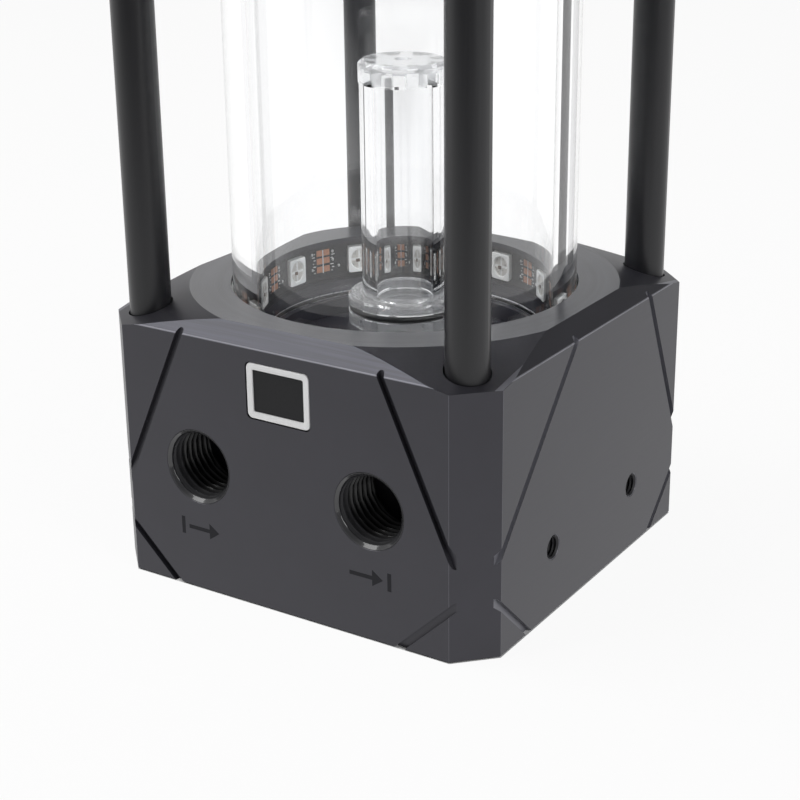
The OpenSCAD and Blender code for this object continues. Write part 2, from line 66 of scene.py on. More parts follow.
# ---- Table and light --------------------------------------------------------------------------
# A white studio table and a white wall behind it, with one large soft box hung to the front left and
# one on the right. The room is dim towards the ceiling and in front, which keeps black parts black.
class Tone:
    """A number or colour on its way through a finish. Sums, products and powers add Math nodes."""

    def __init__(self, finish, socket):
        self.finish, self.socket = finish, socket

    def _maths(self, operation, *terms):
        return self.finish.tone("ShaderNodeMath", {"operation": operation}, dict(enumerate(terms)))

    def __add__(self, other):
        return self._maths("ADD", self, other)

    def __sub__(self, other):
        return self._maths("SUBTRACT", self, other)

    def __rsub__(self, other):
        return self._maths("SUBTRACT", other, self)

    def __mul__(self, other):
        return self._maths("MULTIPLY", self, other)

    def __pow__(self, other):
        return self._maths("POWER", self, other)

    def __gt__(self, other):
        return self._maths("GREATER_THAN", self, other)

    def __lt__(self, other):
        return self._maths("LESS_THAN", self, other)

    def __mod__(self, other):
        return self._maths("FLOORED_MODULO", self, other)

    def __or__(self, other):
        return self._maths("MAXIMUM", self, other)

    def __and__(self, other):
        return self._maths("MINIMUM", self, other)

    def __abs__(self):
        return self._maths("ABSOLUTE", self)

    __radd__, __rmul__ = __add__, __mul__


class Finish:
    """A finish while it is being mixed, on a material or a world."""

    def __init__(self, owner):
        self.owner = bpy.data.materials.new(owner) if isinstance(owner, str) else owner
        self.owner.use_nodes = True
        self.tree = self.owner.node_tree
        self.tree.nodes.clear()

    def node(self, kind, settings, sockets):
        """A node of that type: its settings first, a ramp's stops among them, then values or links."""
        added = self.tree.nodes.new(kind)
        for key, value in settings.items():
            if key == "stops":
                for position, colour in value:
                    added.color_ramp.elements.new(position).color = (*colour, 1)
                for spare in (0, -1):
                    added.color_ramp.elements.remove(added.color_ramp.elements[spare])
            else:
                setattr(added, key, value)
        for key, value in sockets.items():
            value = value.socket if isinstance(value, Tone) else value
            if isinstance(value, bpy.types.NodeSocket):
                self.tree.links.new(value, added.inputs[key])
            else:
                added.inputs[key].default_value = (*value, 1) if added.inputs[key].type == "RGBA" else value
        return added

    def tone(self, kind, settings, sockets, output=0):
        """The same, as a tone to go on with."""
        return Tone(self, self.node(kind, settings, sockets).outputs[output])

    def rays(self):
        """A function that gives an output of Light Path, by its name, as a tone."""
        outputs = self.node("ShaderNodeLightPath", {}, {}).outputs
        return lambda name: Tone(self, outputs[name])


# The table glows where it is seen straight, mirrored or through the clear parts, but not under the
# base. What mirrors show of its front is dark, from sheet_end on and over the width sheet_fade.
table_glow, through_glow = 0.93, 0.12
sheet_x, sheet_y, sheet_end, sheet_fade = 0.53, 0.85, 0.22, 0.2
sheet_white, sheet_dark = (0.92, 0.92, 0.92), (0.10, 0.10, 0.11)
under_half, under_sum = 0.0381, 0.0702

table_mix = Finish("table_white")
table_place = table_mix.node("ShaderNodeTexCoord", {}, {}).outputs["Object"]
table_x, table_y = (Tone(table_mix, each) for each in table_mix.node(
    "ShaderNodeSeparateXYZ", {}, {0: table_place}).outputs[:2])
table_ray = table_mix.rays()
table_front = ((table_x * sheet_x - table_y * sheet_y - sheet_end) * (1 / sheet_fade) | 0.0) & 1.0
table_mirrored = table_front * (table_ray("Glossy Depth") > 0.5)
table_seen = table_ray("Is Camera Ray") | table_ray("Is Glossy Ray") | table_ray("Is Transmission Ray")
under_base = (abs(table_x) < under_half) * (abs(table_y) < under_half) * (
    abs(table_x) + abs(table_y) < under_sum)
table_tone = table_mix.tone("ShaderNodeMix", {"data_type": "RGBA"}, {
    0: table_mirrored, 6: sheet_white, 7: sheet_dark}, 2)
table_lit = table_mix.node("ShaderNodeBsdfDiffuse", {}, {"Color": table_tone})
table_white = table_mix.node("ShaderNodeEmission", {}, {
    "Color": (1, 1, 1), "Strength": 1.0 + through_glow * table_ray("Is Transmission Ray")})
table_both = table_mix.node("ShaderNodeMixShader", {}, {
    0: table_seen * (1 - table_mirrored) * (1 - under_base) * table_glow,
    1: table_lit.outputs[0], 2: table_white.outputs[0]})
table_mix.node("ShaderNodeOutputMaterial", {}, {"Surface": table_both.outputs[0]})

table_half, table_gap = 3.0, 0.0001
table_corners = [(x * table_half, y * table_half, -table_gap)
                 for x, y in ((-1, -1), (1, -1), (1, 1), (-1, 1))]
table_mesh = bpy.data.meshes.new("table")
table_mesh.from_pydata(table_corners, [], [(0, 1, 2, 3)])
table_mesh.materials.append(table_mix.owner)
table_top = bpy.data.objects.new("table", table_mesh)
bpy.context.collection.objects.link(table_top)

# The room is white where it is seen straight or through the clear parts, and a little less so after
# two mirrors inside them. For gloss and light it is a wall behind the base, which fades towards the
# lift wall_top to room_least of its white, and to room_dim in front.
seen_through, seen_twice = 1.12, 0.85
room_dim, room_white, room_least = 0.12, 0.98, 0.25
wall_x, wall_y, wall_spread = 0.42, 0.68, 0.45
wall_top, wall_edge, lift_x, lift_y = 0.46, 5, 0.42, 0.26

room_mix = Finish(bpy.data.worlds.new("studio"))
bpy.context.scene.world = room_mix.owner
room_way = room_mix.node("ShaderNodeTexCoord", {}, {}).outputs["Generated"]
room_x, room_y, room_z = (Tone(room_mix, each) for each in room_mix.node(
    "ShaderNodeSeparateXYZ", {}, {0: room_way}).outputs)
room_ray = room_mix.rays()
room_mirrors = room_ray("Glossy Depth")
room_shown = room_ray("Is Camera Ray") | room_ray("Is Transmission Ray") * (
    seen_through * (room_mirrors < 0.5) + seen_twice * (room_mirrors > 1.5))
room_back = (room_y * wall_y - room_x * wall_x + wall_spread | 0.0) & 1.0
room_lift = abs(room_z) + lift_x * room_x + lift_y * room_y
room_fade = ((wall_top - room_lift) * wall_edge | room_least) & 1.0
room_wall = room_dim + room_white * room_back * (1 - abs(room_z)) * room_fade
room_glow = room_mix.node("ShaderNodeBackground", {}, {
    "Color": (1, 1, 1), "Strength": room_shown | room_wall})
room_mix.node("ShaderNodeOutputWorld", {}, {"Surface": room_glow.outputs[0]})


def soft_box(name, place, width, height, watts):
    """A rectangular lamp at place, facing the top of the base."""
    lamp = bpy.data.lights.new(name, "AREA")
    lamp.shape, lamp.size, lamp.size_y, lamp.energy = "RECTANGLE", width, height, watts
    holder = bpy.data.objects.new(name, lamp)
    holder.location = place
    holder.rotation_euler = (lamp_aim - Vector(place)).to_track_quat("-Z", "Y").to_euler()
    bpy.context.collection.objects.link(holder)


lamp_aim = Vector((0, 0, 50)) * MM
soft_box("lamp_above", (-0.42, -0.30, 0.72), 0.55, 0.5, 3.9)
soft_box("lamp_right", (0.82, -0.2, 0.42), 0.5, 0.5, 3.4)


# ---- Base block and cap -----------------------------------------------------------------------
# Two blocks of black acetal, milled to an eight-sided outline and turned to a flat ring with a cone
# outside it. Mill marks run along the bevels and lathe marks round the axis. The sharp edges get a
# painted highlight, the ring and the front and back bevels a painted sheen, and the side grooves
# painted light. Two flow signs are engraved under the ports, painted dark as shade in their cuts.
ring_height, cap_ring_height = 49.0, 178.2
half_width, ring_radius, corner_sum = 38.1, 37.5, 70.2
bevel_drop, crown_drop, groove_depth, ring_feed = 2.9, 8.0, 1.0, 0.26
sign_height, sign_left, sign_right = 11.3, -17.2, 17.2
sign_line, sign_near, sign_far, sign_bar = 0.36, 2.6, 3.9, 3.8
head_long, head_slope, head_lap, bar_half, bar_tall = 2.1, 0.7, 1.0, 0.38, 1.6


def measures(mix):
    """x, y and z of a point of the object, in millimetres from the middle of the base's underside."""
    place = mix.node("ShaderNodeTexCoord", {}, {}).outputs["Object"]
    return [Tone(mix, each) * 1000 for each in mix.node("ShaderNodeSeparateXYZ", {}, {0: place}).outputs]


def cloud(mix, x, y, z, detail=3):
    """Cloudy noise, 0 to 1, over three numbers: one wave for each unit of them."""
    where = mix.tone("ShaderNodeCombineXYZ", {}, {0: x, 1: y, 2: z})
    return mix.tone("ShaderNodeTexNoise", {}, {"Vector": where, "Scale": 1.0, "Detail": detail})


def blended(mix, share, first, second):
    """The first colour where share is 0 and the second where it is 1."""
    return mix.tone("ShaderNodeMix", {"data_type": "RGBA"}, {0: share, 6: first, 7: second}, 2)


def ramped(mix, share, dark, pale):
    """A colour between two stops, each a position on share and its colour."""
    return mix.tone("ShaderNodeValToRGB", {"stops": [dark, pale]}, {0: share})


def raised(mix, height, millimetres, strength, below=None):
    """A normal for a surface raised by that height, 0 to 1, of so many millimetres, over the relief
    that is given as below."""
    sockets = {"Height": height, "Distance": millimetres * MM, "Strength": strength}
    if below is not None:
        sockets["Normal"] = below
    return mix.tone("ShaderNodeBump", {}, sockets)


def surfaced(mix, sockets):
    """Ends the mix with one surface, and gives the material."""
    last = mix.node("ShaderNodeBsdfPrincipled", {}, sockets)
    mix.node("ShaderNodeOutputMaterial", {}, {"Surface": last.outputs[0]})
    return mix.owner


def arrow(x, z, tail, tip, bar):
    """An engraved arrow from tail to tip along x, and an upright bar: 1 inside them."""
    off = abs(z - sign_height)
    shaft = (off < sign_line) * (x > tail) * (x < tip - head_lap)
    head = (x > tip - head_long) * (off - (tip - x) * head_slope < 0)
    return shaft | head | (abs(x - bar) < bar_half) * (off < bar_tall)


def milled_acetal(name, ring_z, up, signs):
    """Black acetal, with the marks of how each face was cut. Height is counted up from the ring."""
    mix = Finish(name)
    x, y, z = measures(mix)
    height = (z - ring_z) * up
    radius = (x * x + y * y) ** 0.5
    side = abs(x) | abs(y)
    across = abs(x) + abs(y)
    facing_x = abs(x) > abs(y)
    along = x + (y - x) * facing_x

    # Where each cut is: the flat ring, the bevels, the turned cone, the grooves, the edges with a painted
    # highlight.
    on_ring = (height > -0.03) * (radius < ring_radius + 0.02)
    on_bevel = (side + height > half_width - bevel_drop - 0.05) * (1 - on_ring)
    turned_part = (height > -crown_drop) * (1 - on_bevel) * (side < half_width - 0.05)
    groove_painted_light = facing_x * (side > half_width - groove_depth) * (side < half_width - 0.04) * (
        1 - on_bevel) * (across < corner_sum - 0.05)
    # The lower edge of each bevel and the corner edges get a painted highlight, a paler line.
    bevel_edge = (abs(height + bevel_drop) < 0.13) * (side > half_width - 0.15)
    corner_edge = (across > corner_sum - 0.1) * (side > half_width - 0.03) * (height < -2.0)
    painted_edge_highlight = bevel_edge | corner_edge * 0.3

    # Marks of the tools, in waves a millimetre.
    streaks = cloud(mix, along * 0.035, height * 2.6, 0.0)
    face_marks = cloud(mix, along * 0.08, z * 3.4, facing_x * 5.0, 2)
    lathe_marks = cloud(mix, radius * 3.2, 0.0, 0.0, 2)
    painted_sheen_cloud = cloud(mix, radius * 0.9, x * 0.02, y * 0.02, 1)
    mottle = cloud(mix, x * 0.12, y * 0.12, z * 0.12)

    black = ramped(mix, mottle, (0.3, (0.0165, 0.0162, 0.020)), (0.7, (0.0205, 0.020, 0.025)))
    streaks_and_painted_sheen = ramped(mix, streaks, (0.36, (0.018, 0.020, 0.028)), (0.66, (0.037, 0.040, 0.058)))
    # The turned ring is painted a paler grey than the black, in broad clouds: a painted sheen of the room it
    # mirrors.
    grey = ramped(mix, painted_sheen_cloud, (0.3, (0.018, 0.019, 0.024)), (0.7, (0.034, 0.036, 0.044)))
    # The bevels facing front and back carry their real mill streaks in a paler blue grey, a painted
    # reflection of the bright room over them.
    colour = blended(mix, on_bevel * (1 - facing_x), black, streaks_and_painted_sheen)
    colour = blended(mix, on_ring, colour, grey)
    # The side grooves are painted pale grey: painted light caught on their walls.
    colour = blended(mix, groove_painted_light, colour, (0.15, 0.15, 0.17))
    # Painted highlight along the sharp edges.
    colour = blended(mix, painted_edge_highlight * (0.35 + 0.5 * mottle), colour, (0.32, 0.32, 0.36))
    rough = 0.36 + 0.025 * mottle + 0.05 * face_marks - 0.06 * on_ring

    marks = lathe_marks * turned_part + streaks * on_bevel + 0.5 * face_marks * (
        1 - turned_part) * (1 - on_bevel)
    ridges = on_ring * abs((radius % ring_feed) * (2 / ring_feed) - 1)
    relief = raised(mix, ridges, 0.012, 0.9, raised(mix, marks, 0.02, 0.35))
    if signs:
        left_sign = arrow(x, z, sign_left - sign_near, sign_left + sign_far, sign_left - sign_bar)
        right_sign = arrow(x, z, sign_right - sign_far, sign_right + sign_near, sign_right + sign_bar)
        cut = (left_sign | right_sign) * (y < -half_width + 0.05)
        # The engraved signs are painted near black: painted shade in their cuts.
        colour = blended(mix, cut, colour, (0.003, 0.003, 0.004))
        rough = rough + 0.45 * cut
        relief = raised(mix, 1 - cut, 0.25, 0.8, relief)
    return surfaced(mix, {"Base Color": colour, "Roughness": rough, "Normal": relief,
                          "Coat Weight": 0.6 * on_ring, "Coat Roughness": 0.25, "Coat IOR": 1.5,
                          "IOR": 1.6, "Specular Tint": (0.92, 0.91, 1.0)})


def finish_node(node, material):
    """Gives a CAD node its material."""
    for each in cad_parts[node].material_slots:
        each.material = material


base_black = milled_acetal("milled_acetal_base", ring_height, 1, True)
finish_node("base_block", base_black)
finish_node("top_cap", milled_acetal("milled_acetal_cap", cap_ring_height, -1, False))


# ---- Threads in the ports ---------------------------------------------------------------------
# G1/4 threads cut in the acetal of the two ports, and M4 threads in the right side: each starts
# at a chamfered mouth and runs out before the end of its drilling.
port_height, port_across, thread_face = 22.8, 17.2, 38.05
hole_height, hole_across, hole_side_x = 12.2, 14.75, 30.0
mouth_start, mouth_end, painted_shade_start = -38.2, -37.35, -34.5

thread_mix = Finish("cut_thread")
thread_x, thread_y, thread_z = measures(thread_mix)
thread_marks = cloud(thread_mix, thread_x * 0.8, thread_y * 4.0, thread_z * 0.8)
in_mouth = (thread_y < mouth_end) * (thread_y > mouth_start) * (thread_x < hole_side_x)
turns_before_painted_shade = (thread_y < painted_shade_start) | (thread_x > hole_side_x)
thread_colour = blended(thread_mix, thread_marks, (0.006, 0.006, 0.008), (0.020, 0.020, 0.024))
# Past the first turns of each port the threads are painted near black: painted shade inside the drilling.
thread_colour = blended(thread_mix, turns_before_painted_shade, (0.004, 0.004, 0.005), thread_colour)
thread_black = surfaced(thread_mix, {
    "Base Color": blended(thread_mix, in_mouth, thread_colour, (0.014, 0.014, 0.017)),
    "Roughness": 0.26 + 0.12 * thread_marks - 0.1 * in_mouth + 0.3 * turns_before_painted_shade, "IOR": 1.5,
    "Coat Weight": in_mouth, "Coat Roughness": 0.1, "Coat IOR": 1.5,
    "Normal": raised(thread_mix, thread_marks, 0.01, 0.3)})


def grid(points, loop):
    """A grid of points (rows, columns, 3) and its quads: columns always closed, rows closed if loop."""
    rows, columns = points.shape[:2]
    i, j = np.meshgrid(np.arange(rows if loop else rows - 1), np.arange(columns), indexing="ij")
    near, far = i * columns, (i + 1) % rows * columns
    quads = np.stack([near + j, near + (j + 1) % columns, far + (j + 1) % columns, far + j], -1)
    return points.reshape(-1, 3), quads.reshape(-1, 4)


def made(name, shells, finish, body="housing", stands_for=(), sharp=35):
    """A finished piece from closed shells in millimetres: doubles merged, faces turned outwards,
    edges sharper than that many degrees kept sharp."""
    starts = np.cumsum([0] + [len(points) for points, _ in shells])
    mesh = bpy.data.meshes.new(name)
    mesh.from_pydata((np.concatenate([points for points, _ in shells]) * MM).tolist(), [],
                     np.concatenate([quads + start for (_, quads), start in zip(shells, starts)]).tolist())
    work = bmesh.new()
    work.from_mesh(mesh)
    bmesh.ops.remove_doubles(work, verts=work.verts, dist=1e-7)
    bmesh.ops.recalc_face_normals(work, faces=work.faces)
    work.to_mesh(mesh)
    work.free()
    mesh.shade_smooth()
    mesh.set_sharp_from_angle(angle=math.radians(sharp))
    mesh.materials.append(finish)
    piece = bpy.data.objects.new(name, mesh)
    bpy.context.collection.objects.link(piece)
    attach(piece, body)
    if stands_for:
        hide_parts(*stands_for)
    return piece


def thread(outer, root, crest, pitch, length, turns):
    """Threaded sleeve along z. Its inner radius at angle a and depth z is root less the thread's
    height, times how near z / pitch - a is to the middle of a turn. It starts with a plain
    chamfer and fades out at the far end."""
    rows_a_turn, crest_flat, flank_slope, chamfer_long = 12, 1.3, 3.2, 1.6
    depth = np.linspace(0, length, int(length / pitch * rows_a_turn) + 1)[:, None]
    angle = np.linspace(0, 2 * np.pi, turns, endpoint=False)[None]
    phase = (depth / pitch - angle / (2 * np.pi)) % 1
    ridge = np.clip(crest_flat - flank_slope * np.abs(phase - 0.5), 0, 1)
    chamfer = np.clip(chamfer_long - depth / (root - crest), 0, 1)
    ridge = ridge + (1 - ridge) * chamfer
    fade = np.clip(depth / (root - crest), 0, 1) * np.clip((length - depth) / pitch, 0, 1)
    inner = root - (root - crest) * ridge * fade
    radius = np.concatenate([inner, np.full_like(inner, outer)[::-1]])
    depth = np.concatenate([depth, depth[::-1]])
    return grid(np.stack([radius * np.cos(angle), radius * np.sin(angle), depth + 0 * angle], -1), True)


def turned_to(shell, first, second, third, place):
    """The shell with its own x, y and z laid along three directions, and moved to place."""
    return shell[0] @ np.array([first, second, third], float) + np.array(place, float), shell[1]


port_thread = thread(outer=6.57, root=6.5, crest=5.74, pitch=1.337, length=11.6, turns=96)
made("port_threads", [turned_to(port_thread, (1, 0, 0), (0, 0, 1), (0, 1, 0), (x, -thread_face, port_height))
                      for x in (-port_across, port_across)], thread_black)
side_thread = thread(outer=1.99, root=1.97, crest=1.66, pitch=0.7, length=7.8, turns=40)
made("side_threads", [turned_to(side_thread, (0, 1, 0), (0, 0, 1), (-1, 0, 0), (thread_face, y, hole_height))
                      for y in (-hole_across, hole_across)], thread_black)


# ---- Badge ------------------------------------------------------------------------------------
# A bare plate pressed into a pocket of the front. Its rim is satin silver, with round corners, and
# stands round a sunk black field.
def rounded_box(half_w, half_h, corner, steps=8):
    """Outline of a rectangle with round corners: quarter circles about four points, anticlockwise."""
    a = np.radians(np.linspace(0, 90, steps))[None] + np.radians([[0], [90], [180], [270]])
    sign = np.array([[1, 1], [-1, 1], [-1, -1], [1, -1]], float)[:, None]
    middle = sign * np.array([half_w - corner, half_h - corner])
    return (middle + corner * np.stack([np.cos(a), np.sin(a)], -1)).reshape(-1, 2)


def layered(outlines, heights):
    """Closed body through outlines of equal count at those heights, its two ends drawn to a point."""
    rows = [np.column_stack([o, np.full(len(o), float(h))]) for o, h in zip(outlines, heights)]
    ends = [np.repeat(row.mean(0, keepdims=True), len(row), 0) for row in (rows[0], rows[-1])]
    return grid(np.stack([ends[0], *rows, ends[1]]), False)


def grained(name, dark, pale, rough, grain, bump=None, more=None, detail=3):
    """A finish that goes from dark to pale in a cloudy grain of so many waves a millimetre along x,
    y and z. rough is its least roughness and what the grain adds, bump the grain's height in
    millimetres and its strength, and more holds the values of other sockets."""
    mix = Finish(name)
    x, y, z = measures(mix)
    grains = cloud(mix, x * grain[0], y * grain[1], z * grain[2], detail)
    sockets = {"Base Color": blended(mix, grains, dark, pale), "Roughness": rough[0] + rough[1] * grains}
    if bump:
        sockets["Normal"] = raised(mix, grains, *bump)
    return surfaced(mix, {**sockets, **(more or {})})


rim_silver = grained("badge_silver", (0.86, 0.86, 0.87), (0.95, 0.95, 0.95), (0.34, 0.16),
                     (0.6, 1.0, 14.0), (0.01, 0.4), {"Metallic": 0.15})
field_black = grained("badge_black", (0.006, 0.006, 0.007), (0.014, 0.014, 0.016), (0.42, 0.15),
                      (2.0, 1.0, 2.0), (0.01, 0.3), {"IOR": 1.35})

# Half width, half height, corner and height of the rim's section, from outside to inside.
badge_height, badge_floor = 38.9, -37.5
rim_section = [(6.15, 4.75, 0.95, 0.0), (6.2, 4.8, 1.0, 0.05), (6.2, 4.8, 1.0, 0.42),
               (6.08, 4.68, 0.9, 0.54), (5.17, 3.77, 0.4, 0.54), (5.05, 3.65, 0.34, 0.46),
               (5.05, 3.65, 0.34, 0.02)]
rim_outlines = [(rounded_box(half_w, half_h, corner), lift) for half_w, half_h, corner, lift in rim_section]
rim_rows = np.stack([np.column_stack([outline, np.full(len(outline), lift)])
                     for outline, lift in rim_outlines])
field_outline, field_heights = rounded_box(5.02, 3.62, 0.32), (0.02, 0.22)
badge_stand = ((1, 0, 0), (0, 0, 1), (0, -1, 0), (0, badge_floor, badge_height))
made("badge_rim", [turned_to(grid(rim_rows, True), *badge_stand)], rim_silver,
     stands_for=("badge_plate",))
made("badge_field", [turned_to(layered([field_outline] * 2, field_heights), *badge_stand)],
     field_black)


# ---- Reservoir tube and riser -----------------------------------------------------------------
# Cast acrylic: the tube is sawn and faced at its ends, and the riser is turned from the solid and
# polished, with two flanges round the seal of its socket. The cap is bonded on over the windows.
def turned(profile, turns=160, near=0.04):
    """Closed outline of (radius, height) turned round the upright axis, (r cos a, r sin a, z). Each
    long side gets a point close to both of its ends, so that it is smooth up to the edge."""
    start = np.array(profile, float)
    step = np.roll(start, -1, 0) - start
    size = np.hypot(*step.T)[:, None]
    long = size[:, 0] > 6 * near
    inset = step * near / size
    outline = np.concatenate([np.stack([p, p + d, q - d]) if keep else p[None] for p, q, d, keep in
                              zip(start, start + step, inset, long)])
    angle = np.linspace(0, 2 * np.pi, turns, endpoint=False)[:, None]
    return grid(np.stack([outline[:, 0] * np.cos(angle), outline[:, 0] * np.sin(angle),
                          outline[:, 1] + 0 * angle], -1), True)


def clear_acrylic(name, low, high, haze=0.0, joint=None, clear=1.0):
    """Clear acrylic, frosted by the saw close to the heights low and high. Cement bloom makes it
    hazy, and fine turning marks make it less clear. Lamp light goes through it, and a cemented
    joint at the height joint doesn't show."""
    mix = Finish(name)
    x, y, z = measures(mix)
    sawn = (z < low + saw_reach) | (z > high - saw_reach)
    saw_marks = cloud(mix, x * 3.0, y * 0.5, 0.0)
    solid = mix.node("ShaderNodeBsdfPrincipled", {}, {
        "Base Color": blended(mix, sawn, (0.995, 0.997, 1.0), (0.9, 0.92, 0.94)),
        "Roughness": sawn * (0.15 + 0.3 * saw_marks) + haze * (0.7 + 0.6 * saw_marks), "IOR": 1.49,
        "Transmission Weight": clear, "Alpha": 1.0 if joint is None else abs(z - joint) > joint_reach})
    lets_through = mix.node("ShaderNodeBsdfTransparent", {}, {"Color": (0.94, 0.95, 0.96)})
    both = mix.node("ShaderNodeMixShader", {}, {
        0: mix.rays()("Is Shadow Ray"), 1: solid.outputs[0], 2: lets_through.outputs[0]})
    mix.node("ShaderNodeOutputMaterial", {}, {"Surface": both.outputs[0]})
    return mix.owner


saw_reach, joint_reach = 0.15, 0.02
tube_low, tube_high, tube_in, tube_out, tube_edge = 38.6, 188.6, 26, 30, 0.2
tube_outline = [(tube_in, tube_low + tube_edge), (tube_in + tube_edge, tube_low),
                (tube_out - tube_edge, tube_low), (tube_out, tube_low + tube_edge),
                (tube_out, tube_high - tube_edge), (tube_out - tube_edge, tube_high),
                (tube_in + tube_edge, tube_high), (tube_in, tube_high - tube_edge)]
made("tube", [turned(tube_outline, 192)], clear_acrylic("tube_acrylic", tube_low, tube_high),
     stands_for=("reservoir_tube",))

# From the bore's lower end up over the foot, its two flanges and the seal's groove between them.
# No saw reaches the riser, so its frosted heights lie outside it.
foot_top, cap_joint, riser_in, riser_out = 47.6, 83.6, 5, 7.5
unsawn_low, unsawn_high = 0.0, 200.0
riser_outline = [
    (riser_in, 33.5), (8.0, 33.5), (8.2, 33.7), (8.2, 41.8), (9.85, 41.8), (10, 41.95), (10, 43.75),
    (9.85, 43.9), (8.6, 43.9), (8.6, 45.15), (9.85, 45.15), (10, 45.3), (10, 46.45), (9.6, 46.85),
    (8.0, 46.85), (7.65, 47.0), (riser_out, 47.35), (riser_out, foot_top), (riser_out, cap_joint),
    (riser_in, cap_joint), (riser_in, foot_top)]
riser = made("riser", [turned(riser_outline)],
             clear_acrylic("riser_acrylic", unsawn_low, unsawn_high, joint=cap_joint),
             stands_for=("riser_tube",))
riser.data.materials.append(clear_acrylic("riser_foot_acrylic", unsawn_low, unsawn_high, haze=0.03,
                                          clear=0.9))
face_middles = np.zeros(len(riser.data.polygons) * 3)
riser.data.polygons.foreach_get("center", face_middles)
in_foot = face_middles.reshape(-1, 3)[:, 2] < foot_top * MM
riser.data.polygons.foreach_set("material_index", in_foot.astype(np.int32))
finish_node("riser_cap", clear_acrylic("cap_acrylic", unsawn_low, unsawn_high, haze=0.1, joint=cap_joint,
                                       clear=0.8))


# ---- Seals and grommet ------------------------------------------------------------------------
# Moulded black rubber: the riser's O-ring, flat rings under the tube's ends, on the can and under
# the plug, and the ring in the cable outlet. A fine bloom dulls them.
rubber = grained("black_rubber", (0.008, 0.008, 0.008), (0.022, 0.022, 0.022), (0.42, 0.2),
                 (1.5, 1.5, 1.5), (0.02, 0.4), detail=5)
for node in ("tube_seal_lower", "tube_seal_upper", "can_seal", "fill_plug_seal", "cable_grommet"):
    finish_node(node, rubber)
ring_middle, ring_middle_z, ring_cord = 9.27, 44.525, 0.61
cord_round = np.radians(np.arange(0, 360, 22.5))
cord_outline = np.column_stack([ring_middle + ring_cord * np.cos(cord_round),
                                ring_middle_z + ring_cord * np.sin(cord_round)])
made("riser_o_ring", [turned(cord_outline)], rubber, stands_for=("riser_seal",))


# ---- Lighting strip ---------------------------------------------------------------------------
# A thin black circuit strip set into the groove behind the tube. Between its light packages are
# two rows of bare copper pads parted by a printed line, with short printed ticks beside them and
# small solder domes.
strip_low, strip_high, strip_in, strip_out = 41.0, 47.9, 32.1, 32.4
strip_start, strip_end, light_height = 92, 448, 44.45
light_turns = [21 + 30 * k for k in range(12)]


def swept(outline, start, end, steps=4):
    """Closed outline of (radius, height) carried round the upright axis from one angle to another,
    in degrees, with its ends drawn to a point."""
    radius, height = np.array(outline, float).T
    angle = np.radians(np.linspace(start, end, steps + 1))[:, None]
    rows = np.stack([radius * np.cos(angle), radius * np.sin(angle), height + 0 * angle], -1)
    ends = np.repeat(rows[[0, -1]].mean(1, keepdims=True), rows.shape[1], 1)
    return grid(np.concatenate([ends[:1], rows, ends[1:]]), False)


def plate_on_strip(angle, height, width, tall, thick=0.05):
    """A thin plate on the strip's inner side, its width and height in millimetres."""
    sunk, bevel = 0.01, 0.03
    half = math.degrees(width / 2 / strip_in)
    low, high = height - tall / 2, height + tall / 2
    outline = [(strip_in + sunk, low), (strip_in + sunk, high),
               (strip_in - thick, high - bevel), (strip_in - thick, low + bevel)]
    return swept(outline, angle - half, angle + half, 2)


def dome_on_strip(angle, height, size):
    """A round dome on the strip's inner side: half a ball of that radius, flattened to 0.6 of it."""
    lift = np.radians([0, 30, 60, 90])[:, None]
    round_ = np.radians(np.arange(0, 360, 30))[None]
    across, up = size * np.cos(lift) * np.cos(round_), size * np.cos(lift) * np.sin(round_)
    inward = 0.6 * size * np.sin(lift) + 0 * round_
    points = np.stack([strip_in - inward, across, height + up], -1)
    points = np.concatenate([np.full_like(points[:1], 0) + (strip_in, 0, height), points])
    turn = math.radians(angle)
    spin = np.array([[math.cos(turn), math.sin(turn), 0], [-math.sin(turn), math.cos(turn), 0], [0, 0, 1]])
    return grid(points @ spin, False)


board_mix = Finish("strip_board")
board_x, board_y, board_z = measures(board_mix)
board_weave = cloud(board_mix, board_x * 3.0, board_y * 3.0, board_z * 3.0)
track_start, track_step, track_half = 0.2, 1.55, 0.42
board_tracks = abs((board_z - track_start) % track_step - 0.77) < track_half
board_black = surfaced(board_mix, {
    "Base Color": blended(board_mix, board_tracks, (0.010, 0.010, 0.011), (0.019, 0.018, 0.018)),
    "Roughness": 0.36 + 0.15 * board_weave, "Normal": raised(board_mix, board_tracks, 0.03, 0.5)})
strip_outline = [(strip_in, strip_low), (strip_in, strip_high), (strip_out, strip_high),
                 (strip_out, strip_low)]
made("strip_board", [swept(strip_outline, strip_start, strip_end, 180)], board_black,
     stands_for=("led_strip",))

copper_pads = grained("bare_copper_pads", (0.42, 0.17, 0.09), (0.68, 0.34, 0.2), (0.35, 0.2),
                      (2.0, 2.0, 2.0), (0.01, 0.4), {"Metallic": 0.55})
gap_turns = [turn + 15 for turn in light_turns]
pad_aside, pad_heights = 1.65, (46.3, 44.75, 43.1)
pad_width, pad_tall = 1.5, 1.2
made("strip_pads", [plate_on_strip(turn + side, height, pad_width, pad_tall) for turn in gap_turns
                    for side in (-pad_aside, pad_aside) for height in pad_heights],
     copper_pads)

# Each row of ticks: how far it is from the printed line in degrees, its height and its width.
ink_white = grained("printed_white", (0.55, 0.55, 0.55), (0.85, 0.85, 0.84), (0.5, 0.2), (6.0, 6.0, 6.0))
tick_rows = [(4.0 + 0.55 * (row % 2), 42.6 + 0.62 * row, 0.3 + 0.25 * (row % 3)) for row in range(7)]
ticks = [plate_on_strip(turn + side * aside, height, width, 0.2, 0.03)
         for turn in gap_turns for side in (-1, 1) for aside, height, width in tick_rows]
lines = [plate_on_strip(turn, 44.6, 0.22, 4.6, 0.06) for turn in gap_turns]
made("strip_printing", ticks + lines, ink_white)

